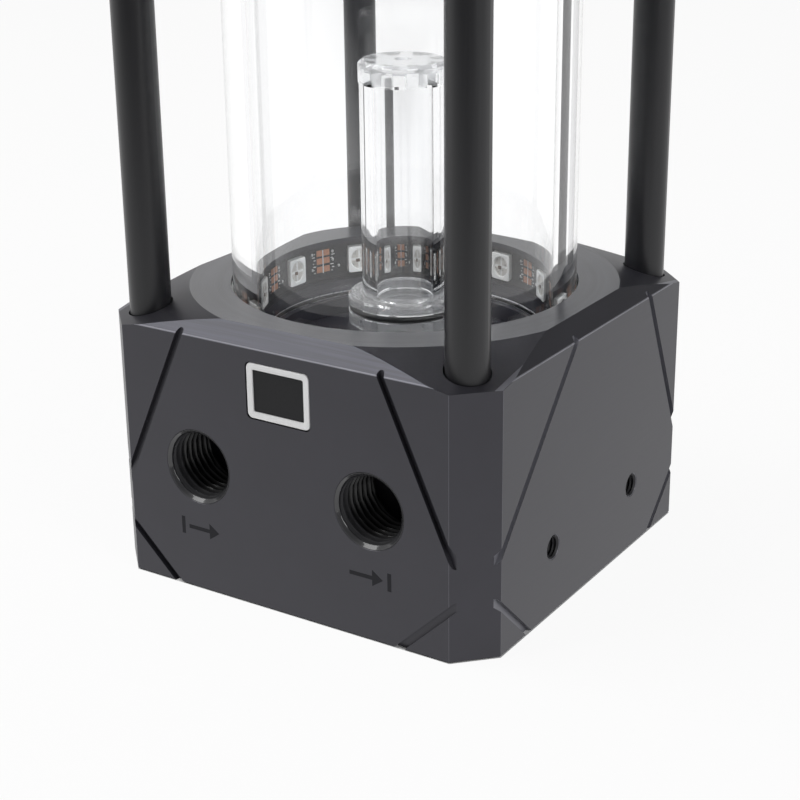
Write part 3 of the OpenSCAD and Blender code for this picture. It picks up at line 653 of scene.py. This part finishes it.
solder = grained("bright_solder", (0.6, 0.6, 0.6), (0.82, 0.82, 0.8), (0.2, 0.2), (5.0, 5.0, 5.0),
                 (0.02, 0.3), {"Metallic": 0.9})
solder_size = 0.32
solder_spots = ((8, 43.3), (10.6, 46.3), (10.6, 44.7), (-9.9, 46.3), (-9.9, 43.3))
made("strip_solder", [dome_on_strip(turn + aside, height, solder_size) for turn in light_turns
                      for aside, height in solder_spots], solder)


# ---- Light packages ---------------------------------------------------------------------------
# Twelve moulded white packages, 5 mm square, soldered to the strip. Each has a round clear window
# with the grey lead frame in four parts below it and one dark chip.
package_back, package_half, package_corner, window_radius = 31.95, 2.5, 0.12, 2.0


def stood(shell, turn):
    """A shell whose z points at the axis, stood on the strip at that angle in degrees."""
    a = math.radians(turn)
    across, inward = (-math.sin(a), math.cos(a), 0), (-math.cos(a), -math.sin(a), 0)
    return turned_to(shell, across, (0, 0, 1), inward,
                     (package_back * math.cos(a), package_back * math.sin(a), light_height))


def square_round(half, corner, count=48):
    """Outline of a square whose radius half / max(|cos a|, |sin a|) stops short of its corners."""
    a = np.radians(np.arange(count) * 360 / count)
    reach = np.minimum(half / np.maximum(abs(np.cos(a)), abs(np.sin(a))), math.sqrt(2) * half - corner)
    return np.column_stack([reach * np.cos(a), reach * np.sin(a)])


def circle(radius, count=48):
    """Points (r cos a, r sin a)."""
    a = np.radians(np.arange(count) * 360 / count)
    return radius * np.column_stack([np.cos(a), np.sin(a)])


package_white = grained("moulded_white", (0.78, 0.77, 0.74), (0.88, 0.88, 0.86), (0.38, 0.15),
                        (1.2, 1.2, 1.2), (0.01, 0.3))
package_sides = [square_round(half, package_corner) for half in
                 (package_half - 0.04, package_half, package_half, package_half - 0.06)]
window_sides = [circle(window_radius + 0.05), circle(window_radius - 0.1)]
package_body = layered(package_sides + window_sides, (0.0, 0.05, 1.36, 1.44, 1.44, 1.05))
made("packages", [stood(package_body, turn) for turn in light_turns], package_white,
     stands_for=("led_packages",))


def quarter(turn):
    """A quarter of a disc with its corner cut back from the middle: ten points of its arc and one."""
    lead_reach, lead_cut = 1.82, 0.35
    a = np.radians(turn + np.linspace(8, 82, 10))
    middle = np.radians(turn + 45)
    arc = lead_reach * np.column_stack([np.cos(a), np.sin(a)])
    return np.vstack([arc, lead_cut * np.array([[np.cos(middle), np.sin(middle)]])])


lead_silver = grained("silvered_lead_frame", (0.60, 0.57, 0.52), (0.78, 0.75, 0.70), (0.22, 0.15),
                      (2.0, 2.0, 2.0), None, {"Metallic": 0.35, "Coat Weight": 0.6, "Coat Roughness": 0.05})
lead_parts = [layered([quarter(90 * k)] * 2, (1.04, 1.12)) for k in range(4)]
made("package_leads", [stood(part, turn) for turn in light_turns for part in lead_parts], lead_silver)

chip_dark = grained("dark_chip", (0.05, 0.03, 0.02), (0.2, 0.13, 0.08), (0.25, 0.1), (7.0, 7.0, 7.0))
chip_points, chip_quads = layered([rounded_box(0.42, 0.3, 0.06, 4)] * 2, (1.1, 1.26))
chip = (chip_points + (0.35, -0.25, 0), chip_quads)
made("package_chips", [stood(chip, turn) for turn in light_turns], chip_dark)


# ---- Rods and their screws --------------------------------------------------------------------
# Four drawn aluminium rods, turned to length and anodised black, and M4 socket screws of black
# oxide steel that hold them from under the base and over the cap.
def satin(name, dark, pale, rough, grain, metallic, coat=0.0, distance=0.01):
    """A satin finish, a little rougher where its grain is pale, under a thin gloss where coat is set."""
    return grained(name, dark, pale, (rough - 0.06, 0.12), grain, (distance, 0.35),
                   {"Metallic": metallic, "Coat Weight": coat, "Coat Roughness": 0.15})


rod_black = satin("black_anodised", (0.010, 0.010, 0.0115), (0.017, 0.017, 0.0195), 0.34,
                  (1.8, 1.8, 0.05), 0.0)
for node in ("rod_front_left", "rod_front_right", "rod_back_left", "rod_back_right"):
    finish_node(node, rod_black)
screw_black = satin("black_oxide", (0.03, 0.03, 0.032), (0.06, 0.058, 0.055), 0.38, (2.5, 2.5, 2.5), 0.7)
for node in ("rod_screws_lower", "rod_screws_upper"):
    finish_node(node, screw_black)


# ---- Fill plug --------------------------------------------------------------------------------
# The stop plug of the cap's fill port, turned from black acetal and screwed in by hand or key: a
# knurled rim to grip, a hex socket, and a groove for its seal.
plug_low, shank_end, seal_seat, rim_low, plug_high = 192.7, 202.15, 203.85, 202.2, 206.2
socket_floor, plug_points = 203.3, 144


def hexagon(across, count):
    """Outline of a hexagon of that width over its corners: radius cos 30 / cos of the angle from the
    middle of a side."""
    a = np.radians(np.arange(count) * 360 / count)
    reach = across / 2 * math.cos(math.pi / 6) / np.cos((a % (math.pi / 3)) - math.pi / 6)
    return np.column_stack([reach * np.cos(a), reach * np.sin(a)])


def knurled(radius, depth, count, teeth=36):
    """Outline whose radius dips by depth between teeth, as the square of a sine."""
    a = np.radians(np.arange(count) * 360 / count)
    reach = radius - depth * np.sin(a * teeth / 2) ** 2
    return np.column_stack([reach * np.cos(a), reach * np.sin(a)])


plug_black = satin("turned_acetal", (0.018, 0.018, 0.020), (0.030, 0.030, 0.033), 0.36, (0.9, 0.9, 6.0), 0.0)
# Outline and height of each step: the shank, the seal's groove, the rim and the socket's floor.
plug_steps = [(circle(5.9, plug_points), plug_low), (circle(6.3, plug_points), plug_low + 0.4),
              (circle(6.3, plug_points), shank_end), (circle(6.65, plug_points), rim_low),
              (circle(6.65, plug_points), seal_seat), (circle(8.45, plug_points), seal_seat),
              (circle(8.45, plug_points), rim_low + 0.05), (circle(8.7, plug_points), rim_low),
              (knurled(9.0, 0.3, plug_points), rim_low + 0.3),
              (knurled(9.0, 0.3, plug_points), plug_high - 0.5),
              (circle(8.5, plug_points), plug_high), (hexagon(9.4, plug_points), plug_high),
              (hexagon(9.2, plug_points), plug_high - 0.1), (hexagon(9.2, plug_points), socket_floor)]
made("plug", [layered(*zip(*plug_steps))], plug_black, body="plug",
     stands_for=("fill_plug",))


# ---- Pump cover, its screws and the can -------------------------------------------------------
# A milled acetal plate let into the underside and held by four countersunk stainless screws. Above
# it the thin can, drawn from stainless sheet, parts the coolant from the stator.
finish_node("pump_cover", base_black)
finish_node("cover_screws", satin("stainless", (0.50, 0.50, 0.51), (0.66, 0.66, 0.67), 0.3,
                                  (3.0, 3.0, 3.0), 1.0))
finish_node("motor_can", satin("drawn_stainless", (0.46, 0.46, 0.48), (0.62, 0.62, 0.63), 0.32,
                               (0.3, 0.3, 5.0), 1.0))


# ---- Stator and driver board ------------------------------------------------------------------
# A stack of electrical steel sheets, enamelled copper wire wound on each tooth, and a ring-shaped
# circuit board with its switching parts between the coils.
pump_axis_y, board_top = 6.0, 3.91


def banded(name, colours, across, step, rough, metallic, coat=0.0):
    """A finish with round ridges, one for each step of the height, or of the distance from the
    pump's axis where across is set."""
    mix = Finish(name)
    x, y, z = measures(mix)
    back = y - pump_axis_y
    run = (x * x + back * back) ** 0.5 if across else z
    ridge = abs((run % step) * (2 / step) - 1)
    fleck = cloud(mix, x * 1.5, y * 1.5, z * 1.5)
    # Each ridge is painted paler on its crest and darker where it meets the next: a painted highlight and
    # painted shade.
    return surfaced(mix, {"Base Color": blended(mix, ridge * 0.6 + fleck * 0.4, colours[1], colours[0]),
                          "Metallic": metallic, "Roughness": rough + 0.1 * fleck, "Coat Weight": coat,
                          "Coat Roughness": 0.1, "Normal": raised(mix, 1 - ridge, 0.12, 0.7)})


finish_node("stator_core", banded("laminated_steel", ((0.16, 0.16, 0.17), (0.42, 0.42, 0.44)), False, 0.5,
                                  0.35, 0.9))
finish_node("stator_coils", banded("copper_windings", ((0.30, 0.11, 0.05), (0.74, 0.36, 0.18)), True, 0.45,
                                   0.22, 0.8, 0.5))
finish_node("driver_board", satin("green_lacquer", (0.010, 0.075, 0.030), (0.018, 0.12, 0.05), 0.3,
                                  (1.2, 1.2, 1.2), 0.0, 0.5))


def part_on_board(turn, radius, half_w, half_h, tall, edge=0.12):
    """A small moulded part on the board, its foot wider than its top by the edge."""
    a = math.radians(turn)
    foot = rounded_box(half_w, half_h, 0.1, 3)
    top = rounded_box(half_w - edge, half_h - edge, 0.1, 3)
    body = layered([foot, foot, top], (0.0, tall - edge, tall))
    outward, sideways = (math.cos(a), math.sin(a), 0), (-math.sin(a), math.cos(a), 0)
    place = (radius * math.cos(a), pump_axis_y + radius * math.sin(a), board_top)
    return turned_to(body, outward, sideways, (0, 0, 1), place)


between_coils = [30 + 60 * k for k in range(6)]
switch_black = satin("moulded_black", (0.012, 0.012, 0.013), (0.028, 0.028, 0.030), 0.45,
                     (2.0, 2.0, 2.0), 0.0)
made("board_switches", [part_on_board(turn, 13.2, 1.3, 1.7, 1.0) for turn in between_coils],
     switch_black)
capacitor_tan = satin("sintered_tan", (0.30, 0.20, 0.12), (0.42, 0.30, 0.19), 0.4, (3.0, 3.0, 3.0), 0.0)
made("board_capacitors", [part_on_board(turn + side, 16.8, 0.4, 0.75, 0.7, 0.06) for turn in between_coils
                          for side in (-6, 6)], capacitor_tan)


# ---- Rotor ------------------------------------------------------------------------------------
# A ceramic shaft, and on it a carbon bush inside a bonded ferrite magnet, with the impeller moulded
# on above: glass-filled plastic, faintly mottled by its fibres.
finish_node("pump_shaft", satin("white_ceramic", (0.80, 0.80, 0.77), (0.90, 0.90, 0.88), 0.2,
                                (0.8, 0.8, 0.8), 0.0, 0.3))
finish_node("rotor_bush", satin("carbon_graphite", (0.035, 0.035, 0.038), (0.075, 0.075, 0.080), 0.42,
                                (4.0, 4.0, 4.0), 0.2))
finish_node("rotor_magnet", satin("bonded_ferrite", (0.045, 0.045, 0.048), (0.11, 0.11, 0.115), 0.5,
                                  (3.0, 3.0, 3.0), 0.4, 0.0, 0.03))
finish_node("impeller", satin("glass_filled", (0.66, 0.66, 0.62), (0.80, 0.80, 0.77), 0.42,
                              (1.4, 1.4, 1.4), 0.0))
